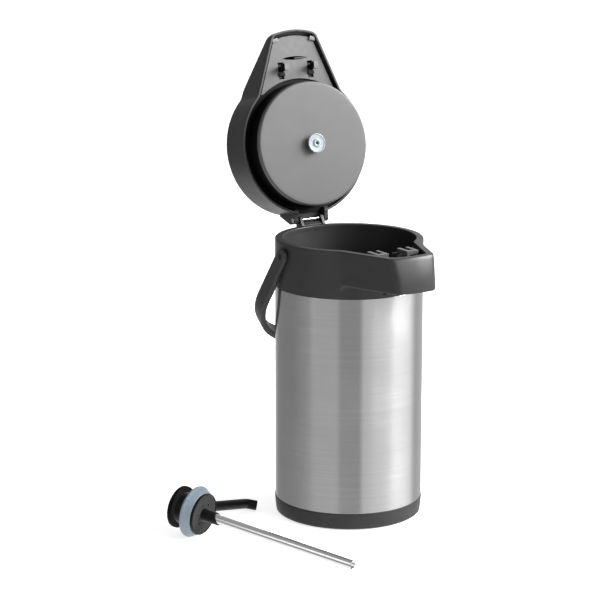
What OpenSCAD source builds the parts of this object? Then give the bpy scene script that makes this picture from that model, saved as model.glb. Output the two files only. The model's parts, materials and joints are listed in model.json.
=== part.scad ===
// Thermal coffee airpot of about 3 litres, stored as it stands for cleaning:
// lid swung open, bail handle hanging at the back, pump stopper lying beside it.
// Millimetres. Origin at the centre of the pot's base on the floor, +Z up,
// the pouring nose points to -Y, the lid hinge is on the +Y side.

/* [Pot body] */
// Outside diameter of the steel body
body_dia = 165; // [160:1:170]
// Height where the plastic base ring ends and the steel begins
steel_bottom = 19.5; // [16:0.5:24]
// Height where the steel ends and the collar begins
steel_top = 262; // [256:1:264]
// Height of the collar's rim
rim_height = 315; // [312:1:318]
// Sheet thickness of the steel body
sheet = 0.8; // [0.6:0.1:1.2]

/* [Flask] */
// Inside radius of the flask's neck
neck_radius = 28.1; // [27.8:0.1:28.4]
// Height of the flask's inside bottom above the floor
flask_floor = 52; // [30:1:54]
// Outside radius of the inner flask
flask_radius = 77.5; // [74:0.5:78]

/* [Collar and nose] */
// Radius of the opening inside the rim
rim_inner_radius = 74.3; // [73.5:0.1:74.6]
// Angle of the nose's side walls from the middle plane
nose_side_angle = 21.1; // [19:0.1:23]
// Distance of the nose's side walls from the pot's axis
nose_side_distance = 71.9; // [70:0.1:73]
// Reach of the nose at the rim, on the middle plane
nose_reach = 130.6; // [126:0.2:132]
// How much further the nose reaches at its lower edge
nose_flare = 9; // [4:1:10]
// Height of the nose's lower edge
nose_bottom = 277; // [274:1:280]

/* [Lid] */
// Radius of the lid's round part
lid_radius = 79.8; // [78.5:0.1:80.2]
// Height of the lid's top when it is closed
lid_top = 357.5; // [352:0.5:360]
// Angle of the lid at rest, measured from closed
lid_open_angle = 101.3; // [90:0.1:104]
// Distance of the hinge pin behind the pot's axis
hinge_y = 84.5; // [84:0.1:86]
// Height of the hinge pin
hinge_z = 321.3; // [321:0.1:322]
// Radius of the air chamber under the lid
chamber_radius = 70.3; // [68:0.1:70.6]
// Radius of the push button
button_radius = 33.4; // [28:0.1:36]
// How far the push button stands above the lid
button_rise = 8; // [6:1:10]

/* [Handle] */
// Height of the handle's pivot
pivot_z = 301; // [298:1:303]
// Distance of the handle's pivot behind the pot's axis
pivot_y = 2; // [0:0.5:4]
// Half of the handle's outside width
handle_half_width = 88; // [87.5:0.5:90]
// Reach of the handle from its pivot to the grip's outside
handle_reach = 149.6; // [149.4:0.1:152]
// Strap thickness at the pivots
strap_thickness = 4.5; // [3.5:0.1:5]
// Strap thickness at the grip
grip_thickness = 7; // [5:0.5:7]
// Strap width
strap_width = 18; // [14:1:18]
// Angle of the hanging handle, measured from straight down
handle_hang = 38; // [36:0.5:39]

/* [Pump stopper] */
// Radius of the stopper's soft seal
seal_radius = 28.8; // [28.3:0.1:29]
// Radius of the stopper's top flange
flange_radius = 23.5; // [20:0.5:24]
// Length of the siphon tube below the stopper
siphon_length = 191; // [186:1:200]
// Outside radius of the siphon tube
siphon_radius = 5; // [4.5:0.1:5.5]
// Length of the spout pipe from the stopper's axis to its elbow
spout_reach = 109; // [104:1:110]
// Downward slope of the spout pipe in use
spout_droop = 5; // [3:0.5:6]
// Outside radius of the spout pipe
spout_radius = 5.65; // [5:0.05:6]
// Place of the loose stopper's lower end beside the pot, X
loose_x = -191.5; // [-210:0.5:-188]
// Place of the loose stopper's lower end beside the pot, Y
loose_y = -10.5; // [-20:0.5:0]
// Compass heading of the loose stopper's top, from +X
loose_heading = 116.7; // [114:0.1:120]

/* [Hidden] */
$fn = 96;

body_r = body_dia / 2;
plastic = "#2c2c2e";
dark_plastic = "#1d1d1f";
steel = "#b9bbbd";
bright_steel = "#d6d8da";
silicone = "#e8eef4";
rubber = "#202020";
cut = 1;

// Base
floor_gap = 0.8;
disc_radius = 76;
disc_bottom = 1;
disc_top = 4;
swivel_pin_r = 8;
swivel_clearance = 0.05;
cover_bottom = 5.2;
cover_top = 8;
base_ring_inner = 78.2;

// Nose outline: side walls, a rounded corner on each side and a bowed tip
nose_fillet = 15;
nose_corner = 10;
tip_bow_radius = 86;
collar_wall = 3;
land_width = 8;
land_thickness = 5;
channel_half = 7.5;
tray_bottom = 297;
tray_top = 300;
bowl_wall = 2;
bowl_floor = 266;
gutter = 263;

// Lid
lid_gap = 0.3;
lid_rim = rim_height + lid_gap;
lid_wall = 2.5;
lid_skin = 3;
slope_start = -64.5;
slope_end = -131;
slope_drop = 35.7;
plate_bottom = rim_height + 4.5;
plate_thickness = 2;
plate_edge = 75;
chamber_bottom = rim_height - 19;
chamber_floor = 2.5;
button_gap = 0.6;
ear_inner = 17.3;
ear_outer = 22.3;
eye_inner = 12.3;
eye_outer = 15.6;
pin_radius = 2;
pin_clearance = 0.05;
boss_radius = 4.5;
latch_x = 19.2;
hook_low = 306.2;
catch_top = 314.5;

// Handle
pivot_pin_r = 6;
handle_corner = 82;

// Stopper, in its own frame: +Z towards the flange, 0 at the underside of the vent plate
seal_level = 11.5;
spout_level = 23.4;
flange_level = 28;
stopper_top = 34;
connector_length = 16;
tip_length = 12;
o_ring_place = 15.3;
tip_bend = 50;
mitre_overlap = 0.05;
loose_tilt = atan((seal_radius - siphon_radius) / (seal_level + siphon_length));
loose_height = seal_radius * cos(loose_tilt) - seal_level * sin(loose_tilt);
// Roll at which the end of the spout pipe touches the floor
loose_roll = 11.15;

// Points of an arc about c
function arc(c, r, a0, a1, n) =
    [for (i = [0:n]) c + r * [cos(a0 + (a1 - a0) * i / n), sin(a0 + (a1 - a0) * i / n)]];

// Right half of the nose, from the round part to the middle of the tip, inset by t
function half_nose(r, reach, t) =
    let (n = [cos(nose_side_angle), -sin(nose_side_angle)],
        d = [sin(nose_side_angle), cos(nose_side_angle)],
        span = sqrt(pow(r + nose_fillet, 2) - pow(nose_side_distance + nose_fillet, 2)),
        fc = n * (nose_side_distance + nose_fillet) - d * span,
        bow = [0, tip_bow_radius - reach],
        kn = nose_side_distance - nose_corner - n * bow,
        kr = tip_bow_radius - nose_corner,
        kc = bow + n * kn - d * sqrt(kr * kr - kn * kn),
        corner = max(nose_corner - t, 0.5),
        a_start = atan2(-fc[1], -fc[0]),
        a_line = atan2(-n[1], -n[0]),
        a_tip = atan2((kc - bow)[1], (kc - bow)[0]))
    concat([fc * (r - t - 3) / norm(fc)],
        [for (i = [1:5]) fc + (nose_fillet + t)
            * [cos(a_start + (a_line - a_start) * i / 5), sin(a_start + (a_line - a_start) * i / 5)]],
        arc(kc, corner, -nose_side_angle, a_tip, 5),
        [for (i = [1:5]) bow + (tip_bow_radius - t)
            * [cos(a_tip + (-90 - a_tip) * i / 6), sin(a_tip + (-90 - a_tip) * i / 6)]]);

function mirrored(p) = [for (i = [len(p) - 1:-1:0]) [-p[i][0], p[i][1]]];

// Plan of the nose alone, inset by t
module nose_plan(r, reach, t) {
    right = half_nose(r, reach, t);
    polygon(concat(right, [[0, t - reach]], mirrored(right)));
}

// Plan of the round part with its nose, inset by t
module pot_plan(r, reach, t) {
    circle(r - t);
    nose_plan(r, reach, t);
}

// Nose of the collar between two heights: its front leans out towards the bottom
module nose_block(t, z0, z1) {
    low = nose_reach + nose_flare;
    rows = 6;
    function front(z) = tip_bow_radius - t
        + nose_flare * (1 - pow((z - nose_bottom) / (rim_height - nose_bottom), 1.6));
    intersection() {
        translate([0, 0, z0])
            linear_extrude(z1 - z0)
                nose_plan(body_r, low, t);
        translate([0, tip_bow_radius - nose_reach, 0])
            rotate_extrude()
                polygon(concat([[0, z0]],
                    [for (i = [0:rows]) let (z = z0 + (z1 - z0) * i / rows)
                        [front(min(max(z, nose_bottom), rim_height)), z]],
                    [[0, z1]]));
    }
}

module ring(r_out, r_in, z0, z1) {
    translate([0, 0, z0])
        difference() {
            cylinder(r = r_out, h = z1 - z0);
            translate([0, 0, -cut])
                cylinder(r = r_in, h = z1 - z0 + 2 * cut);
        }
}

module around(count, radius, start = 0) {
    for (i = [0:count - 1])
        rotate([0, 0, start + 360 * i / count])
            translate([radius, 0, 0])
                children();
}

// Bar along X between two places
module bar_x(x0, x1, r, y, z) {
    translate([x0, y, z])
        rotate([0, 90, 0])
            cylinder(r = r, h = x1 - x0);
}

// Outline in the Y-Z plane, thickened along X from x0 to x1
module side_plate(x0, x1) {
    translate([x0, 0, 0])
        rotate([90, 0, 90])
            linear_extrude(x1 - x0)
                children();
}

// ---- Base the pot turns on ----

module base_swivel_disc() {
    hub_r = 14;
    recess_r = 12.5;
    recess_top = 2.2;
    color(dark_plastic)
        difference() {
            union() {
                translate([0, 0, disc_bottom])
                    cylinder(r = disc_radius, h = disc_top - disc_bottom);
                translate([0, 0, disc_bottom])
                    cylinder(r = hub_r, h = cover_bottom - 0.3 - disc_bottom);
            }
            cylinder(r = swivel_pin_r + swivel_clearance, h = cover_top);
            translate([0, 0, disc_bottom - cut])
                cylinder(r = recess_r, h = recess_top - disc_bottom + cut);
            ring(72.1, 57.9, disc_bottom - cut, 2.1);
        }
}

module base_foot_ring() {
    color(rubber)
        ring(72, 58, 0, 2);
}

// ---- Pot body ----

module base_ring() {
    rise = steel_bottom - floor_gap;
    steps = 8;
    color(plastic)
        rotate_extrude()
            polygon(concat([[base_ring_inner, floor_gap]],
                [for (i = [0:steps]) let (s = i / steps)
                    [body_r - 1.7 + 2.2 * pow(s, 0.5), floor_gap + rise * 0.9 * s]],
                [[body_r + 0.5, steel_bottom], [base_ring_inner, steel_bottom]]));
}

module bottom_cover() {
    color(dark_plastic)
        difference() {
            union() {
                translate([0, 0, cover_bottom])
                    cylinder(r = base_ring_inner - 0.2, h = cover_top - cover_bottom);
                translate([0, 0, 2.3])
                    cylinder(r = swivel_pin_r, h = cover_top - 2.3);
                ring(20, 12, cover_top - 0.5, 14);
                around(3, 60, 30)
                    translate([0, 0, cover_top - 0.5])
                        cylinder(r = 5, h = 12);
            }
            around(3, 60, 30)
                translate([0, 0, cover_bottom - cut])
                    cylinder(r = 2.1, h = 14);
        }
}

module bottom_screws() {
    color(bright_steel)
        around(3, 60, 30)
            translate([0, 0, cover_bottom - 0.8]) {
                cylinder(r = 3.4, h = 0.8);
                cylinder(r = 2, h = 12);
            }
}

module swivel_retainer() {
    color(bright_steel) {
        translate([0, 0, disc_bottom + 0.1])
            cylinder(r = 11.5, h = 1);
        translate([0, 0, disc_bottom + 1])
            cylinder(r = 3, h = 0.3);
    }
}

module outer_shell() {
    color(steel)
        rotate_extrude()
            polygon([[body_r, steel_bottom], [body_r, steel_top - 0.2],
                [neck_radius + 5, steel_top - 0.2], [neck_radius + 5, steel_top + 2.4],
                [neck_radius + 4, steel_top + 2.4], [neck_radius + 4, steel_top - 1],
                [body_r - sheet, steel_top - 1], [body_r - sheet, steel_bottom]]);
}

module flask_liner() {
    t = 0.6;
    low = flask_floor - t;
    shoulder = steel_top - 24;
    neck_low = steel_top - 6;
    lip = steel_top + 2.6;
    color(bright_steel)
        rotate_extrude()
            polygon([[0, low], [flask_radius - 9, low], [flask_radius, low + 9],
                [flask_radius, shoulder], [neck_radius + t, neck_low],
                [neck_radius + t, lip], [neck_radius + 5, lip], [neck_radius + 5, lip + t],
                [neck_radius, lip + t], [neck_radius, neck_low - 0.3],
                [flask_radius - t, shoulder - 0.3], [flask_radius - t, low + 9.3],
                [flask_radius - 9.3, flask_floor], [0, flask_floor]]);
}

module vacuum_bottom() {
    edge = body_r - sheet - 0.05;
    color(steel)
        rotate_extrude()
            polygon([[0, 30], [50, 28], [edge - 6, 21.5], [edge, 21.5], [edge, 22.3],
                [edge - 5.8, 22.3], [50.2, 28.8], [0, 30.8]]);
}

// Two eyes for the hinge pin on the back of the collar's rim
module hinge_knuckles() {
    foot = hinge_y - 8.5;
    for (side = [-1, 1])
        side_plate(side * (eye_inner + eye_outer) / 2 - (eye_outer - eye_inner) / 2,
            side * (eye_inner + eye_outer) / 2 + (eye_outer - eye_inner) / 2)
            difference() {
                union() {
                    translate([hinge_y, hinge_z])
                        circle(boss_radius);
                    polygon([[foot, rim_height - 4], [foot, rim_height + 1],
                        [hinge_y - 3, hinge_z + 3.3], [hinge_y + 4.2, hinge_z - 1.5],
                        [hinge_y + 2, rim_height - 4]]);
                }
                translate([hinge_y, hinge_z])
                    circle(pin_radius + 0.05);
            }
}

// Block under the hinge that joins the two eyes to the collar
module hinge_foot() {
    side_plate(-eye_outer - 0.3, eye_outer + 0.3)
        polygon([[hinge_y - 7, rim_height - 12], [hinge_y - 7, rim_height + 1],
            [hinge_y - 4, rim_height + 3.4], [hinge_y + 4, rim_height + 3.4],
            [hinge_y + 4, rim_height - 5], [body_r - 1, rim_height - 12]]);
}

module collar() {
    color(plastic)
        difference() {
            union() {
                translate([0, 0, steel_top])
                    cylinder(r = body_r, h = rim_height - steel_top);
                nose_block(0, nose_bottom, rim_height);
                hinge_knuckles();
                hinge_foot();
            }
            // space behind the wall, then the opening inside the rim
            translate([0, 0, steel_top - cut])
                cylinder(r = body_r - collar_wall, h = rim_height - 6 - steel_top + cut);
            translate([0, 0, rim_height - 7])
                cylinder(r = rim_inner_radius, h = 12);
            nose_block(collar_wall, nose_bottom + collar_wall, rim_height - land_thickness);
            // opening in the nose's top, inside its land
            translate([0, 0, rim_height - land_thickness - cut])
                linear_extrude(land_thickness + 2 * cut)
                    nose_plan(body_r, nose_reach, land_width);
            // way for the spout pipe: through the front wall and the nose's floor
            translate([-channel_half, land_width - nose_reach, gutter + 2.4])
                cube([2 * channel_half, nose_reach - land_width - 60, rim_height]);
            for (side = [-1, 1])
                bar_x(side * body_r - 6, side * body_r + 6, pivot_pin_r + 0.05, pivot_y, pivot_z);
        }
}

// Shelf that closes the nose's top below its land, outside the round bowl
module nose_tray() {
    difference() {
        nose_block(collar_wall + 0.4, tray_bottom, tray_top);
        translate([0, 0, tray_bottom - cut])
            cylinder(r = rim_inner_radius + 0.8, h = tray_top - tray_bottom + 2 * cut);
        translate([-100, -60, tray_bottom - cut])
            cube([200, 200, tray_top - tray_bottom + 2 * cut]);
    }
}

// Inner wall of the collar, a gutter round the flask's neck, and the nose's tray
module inner_bowl() {
    top = rim_height - 6.2;
    outer = rim_inner_radius + bowl_wall;
    bore = neck_radius + 5.3;
    color(dark_plastic)
        difference() {
            union() {
                rotate_extrude()
                    polygon([[bore, bowl_floor], [bore + 4, bowl_floor], [bore + 8, gutter],
                        [outer - 4, gutter], [outer, gutter + 4], [outer, top],
                        [outer - bowl_wall, top], [outer - bowl_wall, gutter + 5],
                        [outer - 5, gutter + 2], [bore + 9, gutter + 2],
                        [bore + 5, bowl_floor + 2], [bore, bowl_floor + 2]]);
                nose_tray();
            }
            translate([-channel_half, land_width - nose_reach, gutter + 2.4])
                cube([2 * channel_half, nose_reach - land_width - bore - 6.5, rim_height]);
        }
}

module neck_gasket() {
    color(silicone)
        ring(neck_radius + 5, neck_radius + 1.2, steel_top + 3.3, bowl_floor - 0.1);
}

// Brackets on the nose's tray: a bridge in front that the lid's hooks slide under,
// and a cheek on each side with a window
module lid_catches() {
    half = 7.5;
    front = -98.6;
    back = -77.8;
    bridge = 4;
    color("#4a4a4c")
        for (side = [-1, 1])
            translate([side * latch_x - half, front, tray_top])
                difference() {
                    cube([2 * half, back - front, catch_top - tray_top]);
                    translate([4, bridge, -cut])
                        cube([2 * half - 8, 40, 40]);
                    translate([4, -cut, -cut])
                        cube([2 * half - 8, bridge + 2 * cut, 310.3 - tray_top + cut]);
                    translate([-cut, bridge + 3, 2])
                        cube([2 * half + 2 * cut, 10, 8.6]);
                }
}

module hinge_pin() {
    color(bright_steel) {
        bar_x(-ear_outer - 0.6, ear_outer + 0.6, pin_radius, hinge_y, hinge_z);
        bar_x(-ear_outer - 1.4, -ear_outer - 0.4, 3, hinge_y, hinge_z);
    }
}

// ---- Bail handle ----

// Turns the handle from hanging straight down to resting on the pot's back
module hanging() {
    translate([0, pivot_y, pivot_z])
        rotate([handle_hang, 0, 0])
            children();
}

// Outline of the bail in its own plane: strap, bend and half the grip. The strap is
// inset by t at its pivot and by bend_t from there on
function bail_side(t, bend_t) =
    let (c = [handle_half_width - handle_corner, handle_corner - handle_reach])
    concat([[handle_half_width - t, 0], [handle_half_width - t, -20], [handle_half_width - bend_t, -50]],
        arc(c, handle_corner - bend_t, 0, -90, 16));

module carry_handle() {
    outer = bail_side(0, 0);
    inner = bail_side(strap_thickness, grip_thickness);
    color(plastic)
        hanging()
            difference() {
                union() {
                    rotate([90, 0, 0])
                        translate([0, 0, -strap_width / 2])
                            linear_extrude(strap_width)
                                polygon(concat(outer, mirrored(outer),
                                    [for (p = inner) [-p[0], p[1]]],
                                    [for (i = [len(inner) - 1:-1:0]) inner[i]]));
                    for (side = [-1, 1])
                        bar_x(side * (handle_half_width - strap_thickness / 2) - strap_thickness / 2,
                            side * (handle_half_width - strap_thickness / 2) + strap_thickness / 2,
                            strap_width / 2, 0, 0);
                    for (side = [-1, 1])
                        bar_x(side * 82 - 3.4, side * 82 + 3.4, pivot_pin_r, 0, 0);
                }
                for (side = [-1, 1])
                    bar_x(side * 81 - 4, side * 81 + 4, 1.5, 0, 0);
            }
}

// Washer and screw that hold each pivot from inside the collar
module handle_retainers() {
    color(bright_steel)
        hanging()
            for (side = [-1, 1]) {
                bar_x(side * 77.9 - 0.6, side * 77.9 + 0.6, 8, 0, 0);
                bar_x(side * 80.6 - 3.3, side * 80.6 + 3.3, 1.45, 0, 0);
            }
}

// ---- Lid, modelled closed and then swung open ----

module swung_open() {
    translate([0, hinge_y, hinge_z])
        rotate([-lid_open_angle, 0, 0])
            translate([0, -hinge_y, -hinge_z])
                children();
}

// Side view of the lid's top, lowered by t: flat at the back, falling to the nose's tip
function lid_profile(t) = concat(
    [[slope_end - 5, lid_rim - cut]],
    [[slope_end, lid_top - t - slope_drop], [slope_start, lid_top - t]],
    [[lid_radius + cut, lid_top - t], [lid_radius + cut, lid_rim - cut]]);

module lid_block(t, drop, z0) {
    intersection() {
        translate([0, 0, z0])
            linear_extrude(lid_top - z0)
                pot_plan(lid_radius, nose_reach, t);
        side_plate(-100, 100)
            polygon(lid_profile(drop));
    }
}

module lid_ears() {
    for (side = [-1, 1])
        side_plate(side * (ear_inner + ear_outer) / 2 - 2.5, side * (ear_inner + ear_outer) / 2 + 2.5)
            difference() {
                union() {
                    translate([hinge_y, hinge_z])
                        circle(boss_radius);
                    polygon([[hinge_y - 12, lid_rim + 0.7], [hinge_y - 2, hinge_z - 4],
                        [hinge_y + 4.3, hinge_z - 1], [hinge_y + 4.6, hinge_z + 8],
                        [hinge_y - 5.5, lid_top - 7], [hinge_y - 12, lid_top - 7]]);
                }
                translate([hinge_y, hinge_z])
                    circle(pin_radius + pin_clearance);
            }
}

// Bar between the lid's ears that covers the hinge from behind
module hinge_cover() {
    side_plate(-ear_inner - 0.5, ear_inner + 0.5)
        polygon([[hinge_y - 8, hinge_z + 5.4], [hinge_y + 4.4, hinge_z + 5.4],
            [hinge_y + 4.5, hinge_z + 7.9], [hinge_y - 5.6, lid_top - 7.1],
            [hinge_y - 8, lid_top - 7.1]]);
}

module lid_cover() {
    color(plastic)
        swung_open()
            difference() {
                union() {
                    lid_block(0, 0, lid_rim);
                    lid_ears();
                    hinge_cover();
                }
                difference() {
                    lid_block(lid_wall, lid_skin, lid_rim - cut / 2);
                    // collar that guides the button
                    ring(button_radius + button_gap + 2.5, button_radius - 5, lid_top - 16, lid_top);
                }
                translate([0, 0, lid_top - 30])
                    cylinder(r = button_radius + button_gap, h = 40);
                // notch for the hinge eyes on the collar
                translate([-ear_inner, hinge_y - 12.5, lid_rim - cut])
                    cube([2 * ear_inner, 20, hinge_z + 5.2 - lid_rim + cut]);
                // slot for the latch slider's thumb piece
                translate([-5, -86, lid_top - 20])
                    cube([10, 11, 22]);
            }
}

module lid_base_plate() {
    color("#3b3b3d")
        swung_open()
            difference() {
                translate([0, 0, plate_bottom])
                    linear_extrude(plate_thickness)
                        nose_plan(lid_radius, nose_reach - 4, lid_wall + 0.1);
                translate([0, 0, plate_bottom - cut])
                    cylinder(r = plate_edge, h = plate_thickness + 2 * cut);
                // nothing of it behind the nose
                translate([-100, -60, plate_bottom - cut])
                    cube([200, 200, plate_thickness + 2 * cut]);
                // slots for the hooks
                for (side = [-1, 1])
                    translate([side * latch_x - 3.5, -95.6, plate_bottom - cut])
                        cube([7, 20, plate_thickness + 2 * cut]);
                // lens-shaped slit towards the tip
                translate([0, -98.6, plate_bottom - cut])
                    linear_extrude(plate_thickness + 2 * cut)
                        intersection() {
                            translate([0, 90])
                                circle(r = 91.5);
                            translate([0, -90])
                                circle(r = 91.5);
                        }
            }
}

module bellows_chamber() {
    top = plate_bottom + plate_thickness;
    color("#3b3b3d")
        swung_open()
            difference() {
                union() {
                    rotate_extrude()
                        polygon([[6, chamber_bottom], [chamber_radius - 2, chamber_bottom],
                            [chamber_radius, chamber_bottom + 2], [chamber_radius, top],
                            [76.9, top], [76.9, top + 2], [chamber_radius - 2, top + 2],
                            [chamber_radius - 2, chamber_bottom + chamber_floor],
                            [6, chamber_bottom + chamber_floor]]);
                    // screw posts
                    around(4, 60, 45)
                        translate([0, 0, chamber_bottom + 1])
                            cylinder(r = 4, h = 20);
                }
                around(4, 60, 45)
                    translate([0, 0, chamber_bottom + 6])
                        cylinder(r = 1.55, h = 20);
                // flat behind the latch slider and at the hinge
                for (side = [-1, 1])
                    translate([-30, side > 0 ? 71.9 : -80, top - 0.05])
                        cube([60, 8.1, 4]);
            }
}

module chamber_screws() {
    color(bright_steel)
        swung_open()
            around(4, 60, 45)
                translate([0, 0, chamber_bottom + 8]) {
                    cylinder(r = 1.5, h = 14);
                    translate([0, 0, 13.05])
                        cylinder(r = 3.2, h = 1.8);
                }
}

// Soft nipple that passes the air into the stopper
module air_nipple() {
    color(silicone)
        swung_open()
            translate([0, 0, chamber_bottom])
                rotate_extrude()
                    polygon([[2, -7], [6, -7], [7.5, -5.5], [7.5, -4], [10, -3.5], [10, 0],
                        [6, 0], [6, chamber_floor], [8, chamber_floor], [8, 4], [2, 4]]);
}

module bellows() {
    low = chamber_bottom + chamber_floor + 0.2;
    folds = 5;
    pitch = 8;
    inner = 24;
    outer = 31;
    t = 1.2;
    color(rubber)
        swung_open()
            translate([0, 0, low])
                rotate_extrude()
                    polygon(concat([for (i = [0:2 * folds]) [i % 2 == 0 ? inner : outer, i * pitch / 2]],
                        [for (i = [2 * folds:-1:0]) [(i % 2 == 0 ? inner : outer) - t, i * pitch / 2]]));
}

// Return spring inside the bellows, a stack of coil turns
module button_spring() {
    low = chamber_bottom + chamber_floor + 2.6;
    turns = 8;
    pitch = 4.9;
    color(steel)
        swung_open()
            for (i = [0:turns - 1])
                translate([0, 0, low + i * pitch])
                    rotate_extrude()
                        translate([14, 0])
                            circle(0.8, $fn = 16);
}

module push_button() {
    crown = lid_top + button_rise;
    skirt = lid_top - 14;
    color(plastic)
        swung_open()
            rotate_extrude()
                polygon([[0, crown], [button_radius - 5, crown], [button_radius - 1.5, crown - 1.5],
                    [button_radius, crown - 5], [button_radius, skirt],
                    [button_radius - 2.5, skirt], [button_radius - 2.5, crown - 6],
                    [button_radius - 6, crown - 3], [4, crown - 3],
                    [4, lid_top - 12.2], [0, lid_top - 12.2]]);
}

// Plate that closes the bellows and is pushed by the button's stem
module bellows_plate() {
    low = chamber_bottom + chamber_floor + 40.5;
    color("#3b3b3d")
        swung_open()
            translate([0, 0, low])
                cylinder(r = 25.5, h = lid_top - 12.4 - low);
}

// Sliding lock: carrier plate, thumb piece on top, two hooks below
module latch_slider() {
    carrier = plate_bottom + plate_thickness + 0.4;
    slope = slope_drop / (slope_start - slope_end);
    color(dark_plastic)
        swung_open() {
            difference() {
                translate([-latch_x - 4, -92, carrier])
                    cube([2 * latch_x + 8, 16, 3]);
                translate([-latch_x + 5, -84, carrier - cut])
                    cube([2 * latch_x - 10, 20, 5]);
            }
            translate([-3.5, -91, carrier])
                cube([7, 14, 3]);
            translate([-3.5, -81, carrier + 2])
                cube([7, 5, 26]);
            // thumb piece, parallel to the lid's sloping top
            side_plate(-8, 8)
                polygon([for (p = [[-83, 0.4], [-75, 0.4], [-75, 2.7], [-83, 2.7]])
                    [p[0], lid_top - slope * (slope_start - p[0]) + p[1]]]);
            for (side = [-1, 1])
                translate([side * latch_x - 2.5, 0, 0]) {
                    translate([0, -90, hook_low])
                        cube([5, 13.7, carrier + 1 - hook_low]);
                    translate([0, -92.6, hook_low])
                        cube([5, 5, 3.3]);
                }
        }
}

// ---- Pump stopper, modelled upright and then laid on the floor ----

module laid_down() {
    translate([loose_x, loose_y, loose_height])
        rotate([0, 0, loose_heading])
            rotate([0, 90 - loose_tilt, 0])
                rotate([0, 0, loose_roll])
                    children();
}

// Frame of the spout pipe: +Z runs outwards along it, starting at a distance from the axis
module along_spout(distance) {
    translate([0, 0, spout_level])
        rotate([90 + spout_droop, 0, 0])
            translate([0, 0, distance])
                children();
}

module stopper_flange() {
    color(plastic)
        laid_down()
            rotate_extrude()
                polygon([[4, flange_level + 0.6], [flange_radius - 1, flange_level + 0.6],
                    [flange_radius, flange_level + 1.6], [flange_radius, stopper_top - 1],
                    [flange_radius - 1, stopper_top], [9, stopper_top], [4, stopper_top - 3]]);
}

module stopper_body() {
    core = 17.5;
    color(dark_plastic)
        laid_down()
            difference() {
                union() {
                    rotate_extrude()
                        polygon([[6, 3], [22, 3], [22, seal_level - 4.1], [19, seal_level - 4.1],
                            [19, seal_level + 4.1], [21.5, seal_level + 4.1], [21.5, seal_level + 5],
                            [core, seal_level + 6.5], [core, flange_level + 0.6], [6, flange_level + 0.6]]);
                    along_spout(core - 2)
                        cylinder(r = 6.2, h = 5);
                }
                along_spout(5.5)
                    cylinder(r = 4.2, h = 30);
                along_spout(14)
                    cylinder(r = spout_radius + 0.02, h = 20);
                // groove for the o-ring
                along_spout(o_ring_place - 0.4)
                    cylinder(r = spout_radius + 0.7, h = 0.8);
            }
}

module stopper_seal() {
    color("#c4d2de")
        laid_down()
            rotate_extrude()
                polygon([[19.05, seal_level - 4], [25, seal_level - 4], [seal_radius - 1, seal_level - 1.2],
                    [seal_radius, seal_level], [seal_radius - 1, seal_level + 1.2],
                    [25.5, seal_level + 3.7], [19.05, seal_level + 3.7]]);
}

module vent_plate() {
    color("#4f4a4c")
        laid_down()
            difference() {
                cylinder(r = 23.2, h = 3);
                translate([0, 0, -cut])
                    cylinder(r = 6.1, h = 5);
                around(6, 11.7, 30)
                    translate([0, 0, -cut])
                        cylinder(r = 0.9, h = 5);
            }
}

module tube_connector() {
    color(dark_plastic)
        laid_down()
            difference() {
                translate([0, 0, -connector_length])
                    rotate_extrude()
                        polygon([[5.05, 0], [6.3, 0], [7.6, connector_length - 3],
                            [9.5, connector_length - 0.1], [9.5, connector_length],
                            [6, connector_length], [6, connector_length + 6], [5.05, connector_length + 6]]);
                // oblique lower end
                translate([0, 0, -connector_length])
                    rotate([38, 0, 0])
                        translate([-20, -20, -20])
                            cube([40, 40, 20]);
            }
}

module siphon_tube() {
    color(bright_steel)
        laid_down()
            ring(siphon_radius, siphon_radius - 0.6, -siphon_length, 4);
}

// Straight length of the spout pipe from z = a to b, cut off square at one end and
// mitred at the elbow
module pipe_leg(a, b, elbow_side) {
    difference() {
        translate([0, 0, a])
            cylinder(r = spout_radius, h = b - a);
        translate([0, 0, a - cut])
            cylinder(r = spout_radius - 1.3, h = b - a + 2 * cut);
        rotate([elbow_side * tip_bend / 2, 0, 0])
            translate([-20, -20, elbow_side > 0 ? 0 : -40 - mitre_overlap])
                cube([40, 40, 40]);
    }
}

module spout_pipe() {
    start = 14.2;
    color(plastic)
        laid_down()
            along_spout(spout_reach) {
                pipe_leg(start - spout_reach, 8, 1);
                rotate([tip_bend, 0, 0])
                    pipe_leg(-8, tip_length, -1);
            }
}

module spout_o_ring() {
    color(rubber)
        laid_down()
            along_spout(o_ring_place)
                rotate_extrude()
                    translate([spout_radius + 0.35, 0])
                        circle(0.3, $fn = 24);
}

// Ball that closes the bore if the pot falls over
module check_ball() {
    color(bright_steel)
        laid_down()
            translate([0, 0, 12])
                sphere(3.9);
}

base_swivel_disc();
base_foot_ring();
base_ring();
bottom_cover();
bottom_screws();
swivel_retainer();
outer_shell();
flask_liner();
vacuum_bottom();
collar();
inner_bowl();
neck_gasket();
lid_catches();
hinge_pin();
carry_handle();
handle_retainers();
lid_cover();
lid_base_plate();
bellows_chamber();
chamber_screws();
air_nipple();
bellows();
button_spring();
push_button();
bellows_plate();
latch_slider();
stopper_flange();
stopper_body();
stopper_seal();
vent_plate();
tube_connector();
siphon_tube();
spout_pipe();
spout_o_ring();
check_ball();
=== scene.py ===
"""Looks of the thermal airpot: refined shells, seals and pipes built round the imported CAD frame.

Lengths are in millimetres until a mesh is made. Lid pieces are modelled closed and pump
stopper pieces upright; each is then placed as the CAD stores it.
"""
import json
import math

import bmesh
import bpy
from mathutils import Matrix, Vector


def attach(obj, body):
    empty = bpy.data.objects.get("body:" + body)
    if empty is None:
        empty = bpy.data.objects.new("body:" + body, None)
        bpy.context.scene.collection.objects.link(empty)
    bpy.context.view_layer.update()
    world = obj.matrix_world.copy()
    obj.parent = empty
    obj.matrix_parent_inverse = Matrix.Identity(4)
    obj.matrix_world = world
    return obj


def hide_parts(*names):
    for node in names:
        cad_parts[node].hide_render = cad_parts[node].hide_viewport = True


MM = 0.001
FINE_ROUND = 256  # sides of the large turned pieces

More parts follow.
